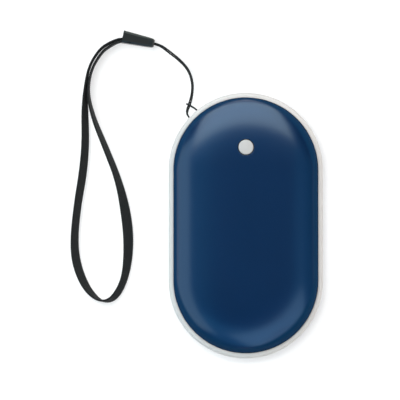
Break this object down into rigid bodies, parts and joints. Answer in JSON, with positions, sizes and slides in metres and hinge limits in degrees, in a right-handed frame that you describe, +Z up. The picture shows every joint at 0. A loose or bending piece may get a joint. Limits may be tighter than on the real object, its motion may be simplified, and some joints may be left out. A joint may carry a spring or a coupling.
{
  "type": "rechargeable hand warmer",
  "caption": "Pebble-shaped electric hand warmer: two heated shells on a pale band, a press button, a charging port, and a wrist strap tied through an eye in the band.",
  "frame": {"origin": "on the flat that the rear cover rests on, under the middle of the body", "axes": "+Z up, the way the button faces; +Y along the body towards the button and the charging port"},
  "size_m": [0.1003, 0.1307, 0.0267],
  "materials": {
    "navy_shell": "gloss",
    "pale_plastic": "satin",
    "button_plastic": "satin",
    "seal_rubber": "matte",
    "heater_film": "gloss",
    "foam": "matte",
    "sensor_resin": "gloss",
    "lead_red": "satin",
    "lead_black": "satin",
    "lead_white": "satin",
    "cell_wrap": "satin",
    "tray_plastic": "matte",
    "board_green": "satin",
    "chip_resin": "matte",
    "coil_ferrite": "matte",
    "capacitor_ceramic": "satin",
    "lamp_resin": "gloss",
    "port_steel": "satin",
    "port_resin": "matte",
    "contact_gold": "polished",
    "switch_resin": "matte",
    "screw_steel": "satin",
    "strap_cord": "matte",
    "strap_weave": "matte",
    "strap_sleeve": "satin"
  },
  "bodies": {
    "housing": {"middle_frame": "pale_plastic", "front_cover": "navy_shell", "rear_cover": "navy_shell", "front_seal": "seal_rubber", "rear_seal": "seal_rubber", "front_heater": "heater_film", "rear_heater": "heater_film", "front_thermistor": "sensor_resin", "rear_thermistor": "sensor_resin", "front_foam": "foam", "rear_foam": "foam", "front_heater_leads": "lead_white", "rear_heater_leads": "lead_white", "button_guide": "pale_plastic", "switch_base": "switch_resin", "switch_plate": "port_steel", "switch_dome": "port_steel", "circuit_board": "board_green", "controller_chip": "chip_resin", "charger_chip": "chip_resin", "power_inductor": "coil_ferrite", "board_capacitors": "capacitor_ceramic", "board_resistors": "chip_resin", "indicator_lamps": "lamp_resin", "usb_shell": "port_steel", "usb_tongue": "port_resin", "usb_contacts": "contact_gold", "battery_cell": "cell_wrap", "battery_guard_board": "board_green", "battery_leads": "lead_red", "battery_tray": "tray_plastic", "case_screws": "screw_steel", "strap_string": "strap_cord", "strap_bead": "strap_sleeve", "strap_ribbon": "strap_weave"},
    "button": {"power_button": "button_plastic", "switch_plunger": "switch_resin"}
  },
  "joints": [
    {"name": "button_press", "type": "slide", "parent": "housing", "child": "button", "axis": [0, 0, -1], "range_m": [0, 0.0004], "stiffness_N_per_m": 1500, "deforming": ["switch_dome"]}
  ]
}
